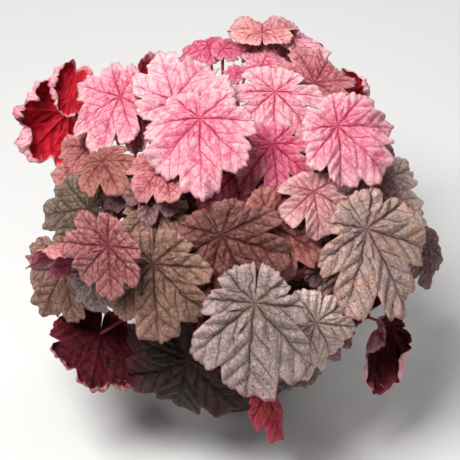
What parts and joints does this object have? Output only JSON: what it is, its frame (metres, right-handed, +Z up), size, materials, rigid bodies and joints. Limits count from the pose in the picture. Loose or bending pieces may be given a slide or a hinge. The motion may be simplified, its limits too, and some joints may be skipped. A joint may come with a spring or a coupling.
{
  "type": "heuchera plant",
  "caption": "Potted heuchera: a dense round mound of lobed, ruffled leaves on slender stalks from a woody crown, in a plain round nursery pot.",
  "frame": {"origin": "centre of the pot's flat base", "axes": "+Z up along the pot's axis, -Y towards the front that shows the large silver leaves"},
  "size_m": [0.4083, 0.3738, 0.3712],
  "materials": {
    "pot_plastic": "matte, slightly dusty",
    "soil": "rough, dry compost",
    "crown_wood": "rough bark",
    "leaf_pink": "soft leaf, matte, darker pink veins, crimson underside",
    "leaf_rose": "soft leaf, matte, wine-red veins, crimson underside",
    "leaf_silver": "soft leaf, silvery bloom between dark veins, burgundy underside",
    "leaf_bronze": "soft leaf, beige-brown with rust patches and dark veins, burgundy underside",
    "leaf_burgundy": "soft leaf turned over, its crimson to burgundy underside outwards"
  },
  "bodies": {
    "root": {"pot": "pot_plastic", "soil": "soil", "crown": "crown_wood", "leaf_bronze_01": "leaf_bronze", "leaf_bronze_02": "leaf_bronze", "leaf_bronze_03": "leaf_bronze", "leaf_bronze_04": "leaf_bronze", "leaf_bronze_05": "leaf_bronze", "leaf_bronze_06": "leaf_bronze", "leaf_bronze_07": "leaf_bronze", "leaf_bronze_08": "leaf_bronze", "leaf_bronze_10": "leaf_bronze", "leaf_bronze_11": "leaf_bronze", "leaf_bronze_12": "leaf_bronze", "leaf_burgundy_01": "leaf_burgundy", "leaf_burgundy_02": "leaf_burgundy", "leaf_burgundy_04": "leaf_burgundy", "leaf_burgundy_05": "leaf_burgundy", "leaf_burgundy_06": "leaf_burgundy", "leaf_burgundy_07": "leaf_burgundy", "leaf_pink_01": "leaf_pink", "leaf_pink_03": "leaf_pink", "leaf_pink_04": "leaf_pink", "leaf_pink_05": "leaf_pink", "leaf_pink_06": "leaf_pink", "leaf_pink_08": "leaf_pink", "leaf_pink_10": "leaf_pink", "leaf_pink_11": "leaf_pink", "leaf_pink_12": "leaf_pink", "leaf_pink_13": "leaf_pink", "leaf_pink_14": "leaf_pink", "leaf_pink_15": "leaf_pink", "leaf_pink_16": "leaf_pink", "leaf_rose_01": "leaf_rose", "leaf_rose_02": "leaf_rose", "leaf_rose_03": "leaf_rose", "leaf_rose_04": "leaf_rose", "leaf_rose_05": "leaf_rose", "leaf_rose_06": "leaf_rose", "leaf_rose_07": "leaf_rose", "leaf_rose_08": "leaf_rose", "leaf_rose_09": "leaf_rose", "leaf_rose_10": "leaf_rose", "leaf_rose_11": "leaf_rose", "leaf_rose_12": "leaf_rose", "leaf_rose_13": "leaf_rose", "leaf_rose_14": "leaf_rose", "leaf_rose_15": "leaf_rose", "leaf_rose_16": "leaf_rose", "leaf_silver_01": "leaf_silver", "leaf_silver_03": "leaf_silver", "leaf_silver_04": "leaf_silver", "leaf_silver_05": "leaf_silver", "leaf_silver_06": "leaf_silver", "leaf_silver_07": "leaf_silver", "leaf_silver_08": "leaf_silver", "leaf_silver_09": "leaf_silver", "leaf_silver_10": "leaf_silver", "leaf_silver_11": "leaf_silver", "leaf_silver_13": "leaf_silver"}
  },
  "joints": []
}
